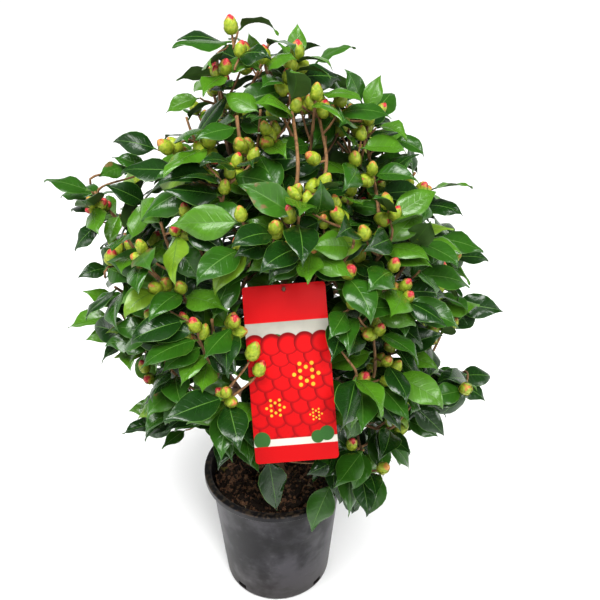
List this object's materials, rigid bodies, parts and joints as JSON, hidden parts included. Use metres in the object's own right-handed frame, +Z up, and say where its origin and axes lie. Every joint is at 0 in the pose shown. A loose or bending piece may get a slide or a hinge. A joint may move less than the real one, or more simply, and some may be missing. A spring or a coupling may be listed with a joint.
{
  "type": "potted camellia shrub",
  "caption": "Bushy evergreen camellia shrub in bud, with glossy leaves on branching stems, growing in a tapered plastic nursery pot of compost with a hanging picture label.",
  "frame": {"origin": "middle of the pot's flat underside, where it stands on the ground", "axes": "+Z up along the pot's axis, -Y to the front, where the label hangs, +X to the right of someone who faces the label"},
  "size_m": [0.5498, 0.5543, 0.8566],
  "materials": {
    "pot": "satin black moulded plastic",
    "compost": "dark fibrous bark compost",
    "label": "glossy printed plastic card",
    "bark": "smooth grey-brown bark",
    "foliage": "glossy green leaves with yellow-green buds"
  },
  "bodies": {
    "root": {"bough_back_left": "bark", "bough_back_low": "bark", "bough_back_right": "bark", "bough_front": "bark", "bough_front_low": "bark", "bough_front_mid": "bark", "bough_leader_back": "bark", "bough_leader_centre": "bark", "bough_leader_left": "bark", "bough_leader_right": "bark", "bough_left": "bark", "bough_left_front": "bark", "bough_left_low": "bark", "bough_right": "bark", "bough_right_front": "bark", "bough_right_low": "bark", "compost": "compost", "foliage_back_left_1": "foliage", "foliage_back_left_2": "foliage", "foliage_back_left_3": "foliage", "foliage_back_low_1": "foliage", "foliage_back_low_2": "foliage", "foliage_back_low_3": "foliage", "foliage_back_right_1": "foliage", "foliage_back_right_2": "foliage", "foliage_back_right_3": "foliage", "foliage_front_1": "foliage", "foliage_front_2": "foliage", "foliage_front_low_1": "foliage", "foliage_front_low_2": "foliage", "foliage_front_mid_1": "foliage", "foliage_front_mid_2": "foliage", "foliage_leader_back_1": "foliage", "foliage_leader_back_2": "foliage", "foliage_leader_back_3": "foliage", "foliage_leader_centre_1": "foliage", "foliage_leader_centre_2": "foliage", "foliage_leader_left_1": "foliage", "foliage_leader_left_2": "foliage", "foliage_leader_left_3": "foliage", "foliage_leader_right_1": "foliage", "foliage_leader_right_2": "foliage", "foliage_leader_right_3": "foliage", "foliage_left_1": "foliage", "foliage_left_2": "foliage", "foliage_left_3": "foliage", "foliage_left_front_1": "foliage", "foliage_left_front_2": "foliage", "foliage_left_low_1": "foliage", "foliage_left_low_2": "foliage", "foliage_right_1": "foliage", "foliage_right_2": "foliage", "foliage_right_front_1": "foliage", "foliage_right_front_2": "foliage", "foliage_right_front_3": "foliage", "foliage_right_low_1": "foliage", "foliage_right_low_2": "foliage", "label": "label", "pot": "pot", "trunk": "bark"}
  },
  "joints": []
}
